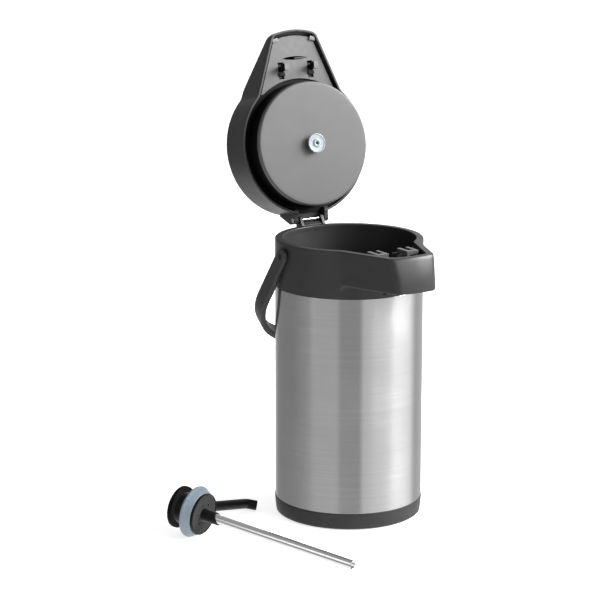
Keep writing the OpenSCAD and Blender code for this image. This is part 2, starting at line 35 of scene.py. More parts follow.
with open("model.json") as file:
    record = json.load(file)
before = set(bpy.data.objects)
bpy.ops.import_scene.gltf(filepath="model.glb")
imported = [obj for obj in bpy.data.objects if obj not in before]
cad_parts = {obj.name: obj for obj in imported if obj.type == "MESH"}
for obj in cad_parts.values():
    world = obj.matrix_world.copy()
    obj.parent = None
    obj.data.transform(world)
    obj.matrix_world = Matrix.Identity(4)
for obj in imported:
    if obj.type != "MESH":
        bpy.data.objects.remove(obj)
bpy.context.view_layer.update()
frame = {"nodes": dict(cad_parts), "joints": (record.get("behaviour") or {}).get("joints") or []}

# ---- Driving sizes, the same as the CAD part's ----

BODY_R = 82.5
STEEL_BOTTOM, STEEL_TOP, RIM = 19.5, 262.0, 315.0
OPENING_R = 74.3
SIDE_ANGLE, SIDE_DISTANCE = math.radians(21.1), 71.9
NOSE_REACH, NOSE_FLARE, NOSE_BOTTOM = 130.6, 9.0, 277.0
NOSE_FILLET, NOSE_CORNER, BOW_R = 15.0, 10.0, 86.0
LAND, WALL = 8.0, 3.0
CHANNEL_HALF = 7.5
BOWL_FLOOR, GUTTER, BOWL_LIP = 266.0, 263.0, 308.8
CHANNEL_LOW, ABOVE_RIM = GUTTER + 2.4, 330.0
TRAY_LOW, TRAY_TOP = 297.0, 300.0

LID_R, LID_TOP, LID_RIM, LID_WALL = 79.8, 357.5, 315.3, 2.5
SLOPE_START, SLOPE_END, SLOPE_DROP = -64.5, -131.0, 35.7
PLATE_LOW, PLATE_TOP, PLATE_EDGE = 319.5, 321.5, 75.0
CHAMBER_R, CHAMBER_LOW = 70.3, 296.0
BUTTON_R, BUTTON_RISE, BUTTON_GAP = 33.4, 8.0, 0.6
EAR_IN, EAR_OUT, BOSS_R, PIN_R = 17.3, 22.3, 4.5, 2.0
EYE_IN, EYE_OUT = 12.3, 15.6
LATCH_X, HOOK_LOW, CATCH_TOP = 19.2, 306.2, 314.5
LID_OPEN = math.radians(101.3)

HANDLE_X, HANDLE_REACH, HANDLE_BEND = 88.0, 149.6, 82.0
STRAP_THIN, STRAP_THICK, STRAP_HALF_WIDTH = 4.5, 7.0, 9.0
HANDLE_HANG = math.radians(38)

SEAL_R, SEAL_LEVEL, SPOUT_LEVEL = 28.8, 11.5, 23.4
FLANGE_R, FLANGE_LEVEL, STOPPER_TOP = 23.5, 28.0, 34.0
SIPHON_R, SIPHON_LENGTH, CONNECTOR_LENGTH = 5.0, 191.0, 16.0
SPOUT_R, SPOUT_REACH, TIP_LENGTH = 5.65, 109.0, 12.0
SPOUT_DROOP, TIP_BEND = math.radians(5), math.radians(50)
LOOSE_X, LOOSE_Y = -191.5, -10.5
LOOSE_HEADING, LOOSE_ROLL = math.radians(116.7), math.radians(11.15)


def hinge_of(name):
    """Place of a joint's axis in millimetres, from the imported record."""
    joint = next(j for j in frame["joints"] if j["name"] == name)
    return Vector(joint["pos_m"]) / MM


HINGE = hinge_of("lid_hinge")
PIVOT = hinge_of("handle_pivot")
UPRIGHT = Matrix.Identity(4)


def turn(angle, axis):
    return Matrix.Rotation(angle, 4, axis)


def shift(x, y, z):
    return Matrix.Translation((x, y, z))


OPENED = shift(0, HINGE.y, HINGE.z) @ turn(-LID_OPEN, "X") @ shift(0, -HINGE.y, -HINGE.z)
HANGING = shift(0, PIVOT.y, PIVOT.z) @ turn(HANDLE_HANG, "X")
LOOSE_TILT = math.atan((SEAL_R - SIPHON_R) / (SEAL_LEVEL + SIPHON_LENGTH))
LOOSE_HEIGHT = SEAL_R * math.cos(LOOSE_TILT) - SEAL_LEVEL * math.sin(LOOSE_TILT)
LAID = (shift(LOOSE_X, LOOSE_Y, LOOSE_HEIGHT) @ turn(LOOSE_HEADING, "Z")
        @ turn(math.pi / 2 - LOOSE_TILT, "Y") @ turn(LOOSE_ROLL, "Z"))
ALONG_SPOUT = shift(0, 0, SPOUT_LEVEL) @ turn(math.pi / 2 + SPOUT_DROOP, "X")


# ---- Material nodes ----

class Shader:
    """A material's node tree with short calls for the nodes used here."""

    def __init__(self, name):
        self.material = bpy.data.materials.new(name)
        self.material.use_nodes = True
        self.tree = self.material.node_tree
        self.surface = self.tree.nodes["Principled BSDF"]
        self.place = self.add("ShaderNodeTexCoord").outputs["Object"]

    def add(self, kind, **settings):
        made = self.tree.nodes.new(kind)
        for key, value in settings.items():
            setattr(made, key, value)
        return made

    def feed(self, socket, source):
        if isinstance(source, bpy.types.NodeSocket):
            self.tree.links.new(source, socket)
        else:
            socket.default_value = source

    def scaled(self, x, y, z):
        mapping = self.add("ShaderNodeMapping")
        self.feed(mapping.inputs["Vector"], self.place)
        mapping.inputs["Scale"].default_value = (x, y, z)
        return mapping.outputs["Vector"]

    def noise(self, vector, scale, detail=3.0, rough=0.55):
        made = self.add("ShaderNodeTexNoise")
        self.feed(made.inputs["Vector"], vector)
        made.inputs["Scale"].default_value = scale
        made.inputs["Detail"].default_value = detail
        made.inputs["Roughness"].default_value = rough
        return made.outputs["Fac"]

    def cells(self, vector, scale):
        made = self.add("ShaderNodeTexVoronoi")
        self.feed(made.inputs["Vector"], vector)
        made.inputs["Scale"].default_value = scale
        return made.outputs["Distance"]

    def ranged(self, value, low, high, to_low, to_high):
        made = self.add("ShaderNodeMapRange")
        self.feed(made.inputs["Value"], value)
        for key, number in (("From Min", low), ("From Max", high),
                            ("To Min", to_low), ("To Max", to_high)):
            made.inputs[key].default_value = number
        return made.outputs["Result"]

    def math(self, operation, a, b):
        made = self.add("ShaderNodeMath", operation=operation)
        self.feed(made.inputs[0], a)
        self.feed(made.inputs[1], b)
        return made.outputs["Value"]

    def mixed(self, factor, a, b):
        made = self.add("ShaderNodeMix", data_type="RGBA")
        self.feed(made.inputs["Factor"], factor)
        self.feed(made.inputs["A"], a)
        self.feed(made.inputs["B"], b)
        return made.outputs["Result"]

    def bump(self, height, strength, distance, below=None):
        made = self.add("ShaderNodeBump")
        self.feed(made.inputs["Height"], height)
        made.inputs["Strength"].default_value = strength
        made.inputs["Distance"].default_value = distance
        if below is not None:
            self.feed(made.inputs["Normal"], below)
        return made.outputs["Normal"]

    def edges(self, low, high):
        """1 on worn outside edges, 0 elsewhere."""
        pointed = self.add("ShaderNodeNewGeometry").outputs["Pointiness"]
        return self.ranged(pointed, low, high, 0.0, 1.0)


def grey(value, warm=0.0):
    return (value * (1 + warm), value, value * (1 - warm), 1.0)


def moulded(name, tone, rough, wear=0.35, grain=1500.0, specular=0.5):
    """Fine-textured injection-moulded plastic with scuffed edges and faint flow clouds."""
    s = Shader(name)
    clouds = s.noise(s.place, 28.0, 4.0)
    specks = s.noise(s.place, 900.0, 2.0)
    base = s.mixed(clouds, grey(tone * 0.86), grey(tone * 1.12))
    base = s.mixed(s.ranged(specks, 0.62, 0.78, 0.0, 0.35), base, grey(tone * 1.7))
    scuff = s.math("MULTIPLY", s.edges(0.52, 0.60), s.ranged(s.noise(s.place, 160.0), 0.35, 0.7, 0.0, wear))
    s.feed(s.surface.inputs["Base Color"], s.mixed(scuff, base, grey(min(1.0, tone * 2.6 + 0.03))))
    s.feed(s.surface.inputs["Roughness"],
           s.ranged(s.noise(s.place, 60.0, 5.0), 0.3, 0.7, rough - 0.05, rough + 0.06))
    s.surface.inputs["Specular IOR Level"].default_value = specular
    peel = s.bump(s.noise(s.place, 240.0, 2.0), 0.06, 0.0006)
    s.feed(s.surface.inputs["Normal"], s.bump(s.cells(s.place, grain), 0.16, 0.00006, peel))
    return s.material


def brushed(name, tone, rough, stretch, anisotropic=0.0, axis="Z", turned=0.25):
    """Metal brushed in fine lines: stretch scales the grain's texture along X, Y and Z."""
    s = Shader(name)
    lines = s.noise(s.scaled(*stretch), 1.0, 6.0, 0.7)
    broad = s.noise(s.scaled(*(v * 0.12 for v in stretch)), 1.0, 3.0)
    smudge = s.noise(s.place, 14.0, 3.0)
    worn = s.math("ADD", s.math("MULTIPLY", lines, 0.65), s.math("MULTIPLY", broad, 0.35))
    s.feed(s.surface.inputs["Base Color"],
           s.mixed(s.ranged(worn, 0.3, 0.7, 0.0, 1.0), grey(tone * 0.88), grey(tone * 1.07, 0.004)))
    hazy = s.ranged(lines, 0.3, 0.7, rough - 0.05, rough + 0.06)
    s.feed(s.surface.inputs["Roughness"], s.math("ADD", hazy, s.ranged(smudge, 0.45, 0.75, 0.0, 0.04)))
    s.surface.inputs["Metallic"].default_value = 1.0
    s.surface.inputs["Anisotropic"].default_value = anisotropic
    s.surface.inputs["Anisotropic Rotation"].default_value = turned
    if anisotropic:
        s.feed(s.surface.inputs["Tangent"],
               s.add("ShaderNodeTangent", direction_type="RADIAL", axis=axis).outputs[0])
    s.feed(s.surface.inputs["Normal"], s.bump(lines, 0.10, 0.00003))
    return s.material


def soft_seal(name, colour, rough, glow):
    """Translucent silicone with faint clouding, mould haze and a finger-dulled surface."""
    s = Shader(name)
    clouds = s.noise(s.place, 70.0, 4.0)
    darker = tuple(c * 0.86 for c in colour[:3]) + (1.0,)
    s.feed(s.surface.inputs["Base Color"], s.mixed(clouds, darker, colour))
    s.feed(s.surface.inputs["Roughness"],
           s.ranged(s.noise(s.place, 400.0), 0.3, 0.7, rough - 0.06, rough + 0.08))
    s.surface.inputs["Subsurface Weight"].default_value = glow
    s.surface.inputs["Subsurface Radius"].default_value = (0.6, 0.8, 1.0)
    s.surface.inputs["Subsurface Scale"].default_value = 0.003
    s.feed(s.surface.inputs["Normal"], s.bump(s.noise(s.place, 1200.0), 0.10, 0.00008))
    return s.material


MATERIALS = {
    "charcoal_plastic": moulded("charcoal_plastic", 0.025, 0.32, specular=0.25),
    "black_plastic": moulded("black_plastic", 0.004, 0.36, wear=0.2, specular=0.16),
    "grey_plastic": moulded("grey_plastic", 0.060, 0.46, wear=0.2, grain=1900.0, specular=0.40),
    "catch_plastic": moulded("catch_plastic", 0.075, 0.24, wear=0.3, grain=900.0),
    "dark_plastic": moulded("dark_plastic", 0.003, 0.45, wear=0.1, specular=0.07),
    "bowl_plastic": moulded("bowl_plastic", 0.022, 0.34, wear=0.1, specular=0.12),
    "vent_plastic": moulded("vent_plastic", 0.024, 0.50, wear=0.15, specular=0.2),
    "brushed_body": brushed("brushed_body", 0.63, 0.20, (9.0, 9.0, 7500.0), 0.95),
    "steel_sheet": brushed("steel_sheet", 0.60, 0.34, (40.0, 40.0, 2600.0)),
    "bright_steel": brushed("bright_steel", 0.74, 0.20, (900.0, 900.0, 900.0)),
    "polished_tube": brushed("polished_tube", 0.80, 0.12, (1500.0, 1500.0, 30.0)),
    "white_silicone": soft_seal("white_silicone", (0.24, 0.27, 0.285, 1.0), 0.34, 0.30),
    "blue_silicone": soft_seal("blue_silicone", (0.17, 0.21, 0.25, 1.0), 0.30, 0.20),
    "black_rubber": moulded("black_rubber", 0.012, 0.62, wear=0.1, grain=2200.0, specular=0.35),
}


# ---- Mesh tools ----

def finished(name, mesh_bm, slot, body, place=UPRIGHT, stands_for=(), crisp=None):
    """Turns a bmesh in millimetres into a shown piece that rides on a CAD body."""
    bmesh.ops.recalc_face_normals(mesh_bm, faces=mesh_bm.faces)
    bmesh.ops.scale(mesh_bm, vec=(MM, MM, MM), verts=mesh_bm.verts)
    mesh = bpy.data.meshes.new(name)
    mesh_bm.to_mesh(mesh)
    mesh_bm.free()
    mesh.shade_smooth()
    if crisp is not None:
        mesh.set_sharp_from_angle(angle=math.radians(crisp))
    piece = bpy.data.objects.new(name, mesh)
    bpy.context.scene.collection.objects.link(piece)
    metres = place.copy()
    metres.translation = place.translation * MM
    piece.matrix_world = metres
    mesh.materials.append(MATERIALS[slot])
    piece.visible_glossy = body != "stopper"
    even = piece.modifiers.new("even_normals", "WEIGHTED_NORMAL")
    even.keep_sharp = True
    even.weight = 60
    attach(piece, body)
    if stands_for:
        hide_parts(*stands_for)
    return piece


def bridge(bm, loops, closed_round=True, closed_chain=False, cap_first=False, cap_last=False):
    """Skins a list of point loops of equal length with quads."""
    rows = [[bm.verts.new(p) for p in loop] for loop in loops]
    pairs = list(zip(rows, rows[1:])) + ([(rows[-1], rows[0])] if closed_chain else [])
    count = len(rows[0])
    for low, high in pairs:
        for i in range(count if closed_round else count - 1):
            j = (i + 1) % count
            bm.faces.new((low[i], low[j], high[j], high[i]))
    if cap_first:
        bm.faces.new(rows[0])
    if cap_last:
        bm.faces.new(list(reversed(rows[-1])))
    return rows


def rounded(points, radius, steps=4, closed=True):
    """A polyline with each corner turned into an arc. A point may carry its own radius third."""
    count = len(points)
    path = []
    for i, point in enumerate(points):
        here = Vector(point[:2])
        r = point[2] if len(point) > 2 else radius
        if r <= 0 or (not closed and i in (0, count - 1)):
            path.append(here)
            continue
        before, after = Vector(points[i - 1][:2]) - here, Vector(points[(i + 1) % count][:2]) - here
        half = before.angle(after) / 2
        if half > math.radians(89):
            path.append(here)
            continue
        reach = r / math.tan(half)
        limit = 0.45 * min(before.length, after.length)
        if reach > limit:
            reach, r = limit, limit * math.tan(half)
        centre = here + (before.normalized() + after.normalized()).normalized() * (r / math.sin(half))
        start, end = here + before.normalized() * reach - centre, here + after.normalized() * reach - centre
        sweep = start.angle_signed(end)
        for k in range(steps + 1):
            a = -sweep * k / steps
            path.append(centre + Vector((start.x * math.cos(a) - start.y * math.sin(a),
                                         start.x * math.sin(a) + start.y * math.cos(a))))
    return path


def lathed(outline, segments=192, closed=True):
    """Bmesh of an outline of (radius, height) turned round Z. Points on the axis become one vertex."""
    bm = bmesh.new()
    rows = []
    for p in outline:
        if p[0] < 1e-6:
            rows.append([bm.verts.new((0, 0, p[1]))])
        else:
            rows.append([bm.verts.new((p[0] * math.cos(2 * math.pi * i / segments),
                                       p[0] * math.sin(2 * math.pi * i / segments), p[1]))
                         for i in range(segments)])
    pairs = list(zip(rows, rows[1:])) + ([(rows[-1], rows[0])] if closed else [])
    for low, high in pairs:
        if len(low) == 1 and len(high) == 1:
            continue
        for i in range(segments):
            j = (i + 1) % segments
            if len(low) == 1:
                bm.faces.new((low[0], high[j], high[i]))
            elif len(high) == 1:
                bm.faces.new((low[i], low[j], high[0]))
            else:
                bm.faces.new((low[i], low[j], high[j], high[i]))
    return bm


def prism(outline, depth, edge, place=UPRIGHT, steps=2):
    """Bmesh of a flat outline in X-Y thickened along Z by depth, all its edges rounded."""
    bm = bmesh.new()
    bridge(bm, [[(p[0], p[1], z) for p in outline] for z in (0, depth)], cap_first=True, cap_last=True)
    bmesh.ops.recalc_face_normals(bm, faces=bm.faces)
    if edge > 0:
        sharp = [e for e in bm.edges if e.calc_face_angle(0) > math.radians(30)]
        bmesh.ops.bevel(bm, geom=sharp, offset=edge, segments=steps, profile=0.6, affect="EDGES",
                        clamp_overlap=True)
    bmesh.ops.transform(bm, matrix=place, verts=bm.verts)
    return bm


def block(x0, x1, y0, y1, z0, z1, edge=0.4):
    return prism([(x0, y0), (x1, y0), (x1, y1), (x0, y1)], z1 - z0, edge, shift(0, 0, z0))


SIDEWAYS = Matrix(((0, 0, 1, 0), (1, 0, 0, 0), (0, 1, 0, 0), (0, 0, 0, 1)))


def side_prism(outline, x0, x1, edge=0.5):
    """A Y-Z outline thickened along X from x0 to x1."""
    return prism(outline, x1 - x0, edge, shift(x0, 0, 0) @ SIDEWAYS)


def scratch(bm):
    """A hidden object for a boolean, from a bmesh in millimetres."""
    bmesh.ops.recalc_face_normals(bm, faces=bm.faces)
    mesh = bpy.data.meshes.new("scratch")
    bm.to_mesh(mesh)
    bm.free()
    made = bpy.data.objects.new("scratch", mesh)
    bpy.context.scene.collection.objects.link(made)
    return made


def combined(base, *changes):
    """base with each ('UNION' or 'DIFFERENCE', bmesh) applied in turn, as a bmesh."""
    result = scratch(base)
    for operation, other in changes:
        tool = scratch(other)
        step = result.modifiers.new("step", "BOOLEAN")
        step.operation, step.solver, step.object = operation, "MANIFOLD", tool
        bpy.context.view_layer.update()
        seen = result.evaluated_get(bpy.context.evaluated_depsgraph_get())
        mesh = bpy.data.meshes.new_from_object(seen)
        result.modifiers.clear()
        old, result.data = result.data, mesh
        bpy.data.meshes.remove(old)
        bpy.data.objects.remove(tool)
    bm = bmesh.new()
    bm.from_mesh(result.data)
    bpy.data.objects.remove(result)
    return bm


def tube(path, outer, inner, depth, sides=40, start_cap=True):
    """Pipe along a path of points: rounded open end, hollow for the last `depth` millimetres."""
    points = [Vector(p) for p in path]
    heading = (points[1] - points[0]).normalized()
    across = heading.orthogonal().normalized()
    stations = []
    for i, p in enumerate(points):
        ahead = (points[min(i + 1, len(points) - 1)] - points[max(i - 1, 0)]).normalized()
        across = (across - ahead * across.dot(ahead)).normalized()
        stations.append((p, across.copy(), ahead.cross(across)))

    def ring_at(station, radius):
        p, u, v = station
        return [p + (u * math.cos(2 * math.pi * k / sides) + v * math.sin(2 * math.pi * k / sides)) * radius
                for k in range(sides)]

    end, u, v = stations[-1]
    ahead = u.cross(v)
    lip = (outer - inner) / 2
    loops = [ring_at(s, outer) for s in stations[:-1]]
    loops += [ring_at((end - ahead * lip * (1 - math.sin(a)), u, v), outer - lip * (1 - math.cos(a)))
              for a in [math.pi * k / 8 for k in range(5)]]
    loops += [ring_at((end - ahead * lip * (1 - math.sin(a)), u, v), inner + lip * (1 + math.cos(a)))
              for a in [math.pi * k / 8 for k in range(5, 9)]]
    walked = 0.0
    for i in range(len(stations) - 2, -1, -1):
        walked += (stations[i + 1][0] - stations[i][0]).length
        loops.append(ring_at(stations[i], inner))
        if walked > depth:
            break
    bm = bmesh.new()
    bridge(bm, loops, cap_first=start_cap, cap_last=True)
    return bm


# ---- Outline of the pot and the lid: a circle with the nose, as a distance by direction ----

COLUMNS = 720
DIRECTIONS = [2 * math.pi * i / COLUMNS - math.pi for i in range(COLUMNS)]


def nose_outline(circle_r, inset, bow_r=BOW_R, bow_inset=None):
    """Distance from the axis for each direction, measured from -Y towards +X."""
    front_inset = inset if bow_inset is None else bow_inset
    across = Vector((math.cos(SIDE_ANGLE), -math.sin(SIDE_ANGLE)))
    along = Vector((math.sin(SIDE_ANGLE), math.cos(SIDE_ANGLE)))
    bow = Vector((0, BOW_R - NOSE_REACH))
    front_r = bow_r - front_inset
    corner = max(NOSE_CORNER - inset, 0.8)
    side = SIDE_DISTANCE - inset
    off = side - corner - across.dot(bow)
    corner_at = bow + across * off - along * math.sqrt((front_r - corner) ** 2 - off ** 2)
    radius = circle_r - inset
    fillet = NOSE_FILLET + inset
    span = math.sqrt((radius + fillet) ** 2 - (side + fillet) ** 2)
    fillet_at = across * (side + fillet) - along * span

    def direction(p):
        return math.atan2(p.x, -p.y)

    ends = [direction(bow + (corner_at - bow).normalized() * front_r),
            direction(corner_at + across * corner),
            direction(fillet_at - across * fillet), direction(fillet_at)]

    def hit(centre, r, ray, far):
        b = ray.dot(centre)
        root = math.sqrt(max(b * b - centre.length_squared + r * r, 0.0))
        return b + root if far else b - root

    made = []
    for d in DIRECTIONS:
        a = abs(d)
        ray = Vector((math.sin(a), -math.cos(a)))
        if a <= ends[0]:
            made.append(hit(bow, front_r, ray, True))
        elif a <= ends[1]:
            made.append(hit(corner_at, corner, ray, True))
        elif a <= ends[2]:
            made.append(side / math.sin(a + SIDE_ANGLE))
        elif a <= ends[3]:
            made.append(hit(fillet_at, fillet, ray, False))
        else:
            made.append(radius)
    return made


def ringed(distances, heights):
    """Loop of points from distances and one height or a list of heights."""
    if not isinstance(heights, list):
        heights = [heights] * COLUMNS
    return [(r * math.sin(d), -r * math.cos(d), z) for r, d, z in zip(distances, DIRECTIONS, heights)]


def between(a, b, share):
    return [p + (q - p) * share for p, q in zip(a, b)]


def smooth(x):
    x = min(max(x, 0.0), 1.0)
    return x * x * (3 - 2 * x)


def stepped_shelf(inner, outer, profile, nose_only_z):
    """Loops that cross from one outline to another. profile lists (from the inner end, distance,
    height); where the outlines meet, the heights spread evenly over nose_only_z instead."""
    loops = []
    low, high = nose_only_z
    for k, (from_inner, distance, height) in enumerate(profile):
        share = k / (len(profile) - 1)
        even = low + (high - low) * share
        reach, heights = [], []
        for a, b in zip(inner, outer):
            room = abs(b - a)
            step = min(distance, room * (share if from_inner else 1 - share)) * (1 if b >= a else -1)
            reach.append(a + step if from_inner else b - step)
            heights.append(even + (height - even) * smooth(room / 5))
        loops.append(ringed(reach, heights))
    return loops


def flare_at(z):
    share = min(max((z - NOSE_BOTTOM) / (RIM - NOSE_BOTTOM), 0.0), 1.0)
    return BOW_R + NOSE_FLARE * (1 - share ** 1.6)


# ---- Pot ----

def base_skirt():
    low = 0.8
    rise = STEEL_BOTTOM - low
    curve = [(BODY_R - 1.7 + 2.2 * math.sqrt(s), low + rise * 0.9 * s, 0) for s in
             [k / 14 for k in range(1, 14)]]
    outline = [(78.2, low, 0.4), (BODY_R - 3.0, low, 1.2)] + curve + \
        [(BODY_R + 0.5, STEEL_BOTTOM - 0.3, 0.25), (78.2, STEEL_BOTTOM - 0.3, 0.2)]
    finished("base_skirt", lathed(rounded(outline, 0.3), FINE_ROUND), "charcoal_plastic", "pot",
             stands_for=["base_ring"])


def steel_body():
    lip = 0.35
    neck = 33.1
    outline = [(BODY_R, STEEL_BOTTOM - 0.1, lip), (BODY_R, STEEL_TOP - 0.2, lip),
               (neck, STEEL_TOP - 0.2, 0.3),
               (neck, STEEL_TOP + 2.4, 0.2), (neck - 1, STEEL_TOP + 2.4, 0.2),
               (neck - 1, STEEL_TOP - 1, 0.3),
               (BODY_R - 0.8, STEEL_TOP - 1, 0.2), (BODY_R - 0.8, STEEL_BOTTOM - 0.1, lip)]
    finished("steel_body", lathed(rounded(outline, lip), FINE_ROUND), "brushed_body", "pot",
             stands_for=["outer_shell"])


def hinge_parts():
    """Eyes for the pin and the block under them, on the back of the rim."""
    y, z = HINGE.y, HINGE.z
    eye = rounded([(y - 8.5, RIM - 4), (y + 2, RIM - 4, 1), (y + BOSS_R, z - 1.5, 3),
                   (y + 3.2, z + 3.4, 2.6), (y - 2.6, z + 4.4, 2.6), (y - 8.5, RIM + 1, 0.8)], 0.2)
    foot = rounded([(y - 7, RIM - 12), (BODY_R - 1, RIM - 12, 0.5), (y + 4, RIM - 5, 1.5),
                    (y + 4, RIM + 3.4, 1), (y - 4, RIM + 3.4, 1), (y - 7, RIM + 1, 1)], 0.3)
    return [side_prism(eye, -EYE_OUT, -EYE_IN), side_prism(eye, EYE_IN, EYE_OUT),
            side_prism(foot, -EYE_OUT - 0.3, EYE_OUT + 0.3, 0.6)]


def collar_shell():
    circle = [BODY_R] * COLUMNS
    low_nose = nose_outline(BODY_R, 0, flare_at(NOSE_BOTTOM))
    inner_circle = [BODY_R - WALL] * COLUMNS
    low_inner = nose_outline(BODY_R, WALL, flare_at(NOSE_BOTTOM + WALL))
    loops = [ringed([BODY_R - 0.4] * COLUMNS, STEEL_TOP),
             ringed([BODY_R - 0.1] * COLUMNS, STEEL_TOP + 0.12),
             ringed(circle, STEEL_TOP + 0.45), ringed(circle, STEEL_TOP + 6)]
    loops += stepped_shelf(circle, low_nose,
                           [(True, 0, 274.4), (True, 0.3, 275.7), (True, 1.0, 276.6),
                            (True, 2.4, NOSE_BOTTOM), (True, 12.0, NOSE_BOTTOM),
                            (False, 12.0, NOSE_BOTTOM), (False, 2.2, NOSE_BOTTOM),
                            (False, 1.0, 277.25), (False, 0.3, 277.8), (False, 0, 278.8)],
                           (270.0, 278.8))
    for z in (281, 284, 288, 292, 296, 300, 304, 308, 311, 313.4):
        loops.append(ringed(nose_outline(BODY_R, 0, flare_at(z)), float(z)))
    for inset, z in ((0.12, 314.1), (0.4, 314.6), (0.85, 314.9), (1.5, 315.0), (4.5, 315.0)):
        loops.append(ringed(nose_outline(BODY_R, inset), z))
    mouth = nose_outline(OPENING_R + LAND, LAND)
    for back, z in ((1.2, 315.0), (0.6, 314.88), (0.2, 314.55), (0, 314.0), (0, 312.0)):
        loops.append(ringed([r + back for r in mouth], z))
    low_mouth = [r + 0.3 for r in mouth]
    under = [310.0 if r > OPENING_R + 3 else 308.3 for r in mouth]
    loops.append(ringed(mouth, [z + 0.3 for z in under]))
    loops.append(ringed(low_mouth, under))
    inner_high = nose_outline(BODY_R, WALL, flare_at(308))
    loops.append(ringed(inner_high, [z + 0.2 for z in under]))
    for z in (305, 298, 290, 284):
        loops.append(ringed(nose_outline(BODY_R, WALL, flare_at(z)), float(z)))
    loops += stepped_shelf(low_inner, inner_circle,
                           [(True, 0, 281.0), (True, 0.8, 280.0), (False, 6, 280.0), (False, 0, 279.0)],
                           (282.0, 276.0))
    loops += [ringed(inner_circle, 270.0), ringed(inner_circle, STEEL_TOP + 0.3)]
    bm = bmesh.new()
    bridge(bm, loops, closed_chain=True)
    changes = [("UNION", part) for part in hinge_parts()]
    changes.append(("DIFFERENCE", block(-CHANNEL_HALF, CHANNEL_HALF, LAND - NOSE_REACH, -60,
                                        CHANNEL_LOW, ABOVE_RIM, 0)))
    for side in (-1, 1):
        pivot = lathed([(0, -6), (6.3, -6), (6.3, 6), (0, 6)], 48, closed=False)
        bmesh.ops.transform(pivot, matrix=shift(side * BODY_R, PIVOT.y, PIVOT.z) @ turn(math.pi / 2, "Y"),
                            verts=pivot.verts)
        changes.append(("DIFFERENCE", pivot))
    finished("collar_shell", combined(bm, *changes), "charcoal_plastic", "pot", stands_for=["collar"],
             crisp=50)


def bowl_lining():
    outer, bore = OPENING_R + 2, 33.4
    outline = [(bore, BOWL_FLOOR), (bore + 4, BOWL_FLOOR, 2), (bore + 8, GUTTER, 2), (outer - 4, GUTTER, 4),
               (outer, GUTTER + 4, 4), (outer, BOWL_LIP), (OPENING_R + 0.1, BOWL_LIP),
               (OPENING_R - 6, GUTTER + 5, 5),
               (outer - 12, GUTTER + 2, 3), (bore + 9, GUTTER + 2, 2), (bore + 5, BOWL_FLOOR + 2, 2),
               (bore, BOWL_FLOOR + 2)]
    bm = combined(lathed(rounded(outline, 0.4), 192),
                  ("DIFFERENCE", block(-CHANNEL_HALF, CHANNEL_HALF, -90, -58, CHANNEL_LOW, ABOVE_RIM, 0)))
    finished("bowl_lining", bm, "bowl_plastic", "pot", stands_for=["inner_bowl"], crisp=50)


def nose_shelf():
    """Shelf inside the nose, with the channel for the spout pipe."""
    inside = [OPENING_R + 1.8] * COLUMNS
    outside = nose_outline(BODY_R, WALL + 0.4, flare_at(300))
    held = [i for i in range(COLUMNS) if outside[i] > inside[i] + 9]
    bm = bmesh.new()
    loops = []
    for share, z in ((0.0, TRAY_LOW), (0.0, TRAY_TOP - 0.4), (0.01, TRAY_TOP), (0.3, TRAY_TOP),
                     (0.65, TRAY_TOP),
                     (0.99, TRAY_TOP), (1.0, TRAY_TOP - 0.4), (1.0, TRAY_LOW)):
        loop = ringed(between(inside, outside, share), z)
        loops.append([loop[i] for i in held])
    rows = bridge(bm, loops, closed_round=False, closed_chain=True)
    for end in (0, -1):
        bm.faces.new([row[end] for row in rows])
    cut = block(-CHANNEL_HALF, CHANNEL_HALF, LAND - NOSE_REACH, -60, 290, 310, 0)
    finished("nose_shelf", combined(bm, ("DIFFERENCE", cut)), "black_plastic", "pot", crisp=40)


def catch_brackets():
    """Two brackets for the lid's hooks: a bridge in front and a windowed cheek on each side."""
    front, back, bridge_depth, bridge_low = -98.6, -77.8, 4.0, 310.3
    for side, label in ((-1, "left"), (1, "right")):
        x = side * LATCH_X
        cuts = [block(x - 3.5, x + 3.5, front + bridge_depth, back + 5, TRAY_TOP - 1, CATCH_TOP + 2, 0),
                block(x - 3.5, x + 3.5, front - 1, front + bridge_depth + 1, TRAY_TOP - 1, bridge_low, 0),
                block(x - 8.5, x + 8.5, front + 7, front + 17, TRAY_TOP + 2, TRAY_TOP + 10.6, 0)]
        bm = combined(block(x - 7.5, x + 7.5, front, back, TRAY_TOP, CATCH_TOP, 0.7),
                      *[("DIFFERENCE", cut) for cut in cuts])
        finished(f"lid_catch_{label}", bm, "catch_plastic", "pot", stands_for=["lid_catches"], crisp=40)


def pin():
    length = EAR_OUT + 0.5
    outline = [(0, -length), (2.8, -length, 0.3), (2.8, -length + 0.4, 0.1), (PIN_R, -length + 0.4, 0.1),
               (PIN_R, length, 0.5), (0, length)]
    bm = lathed(rounded(outline, 0.3, closed=False), 48, closed=False)
    place = shift(0, HINGE.y, HINGE.z) @ turn(math.pi / 2, "Y")
    finished("hinge_rod", bm, "bright_steel", "pot", place, ["hinge_pin"], crisp=40)


# ---- Handle ----

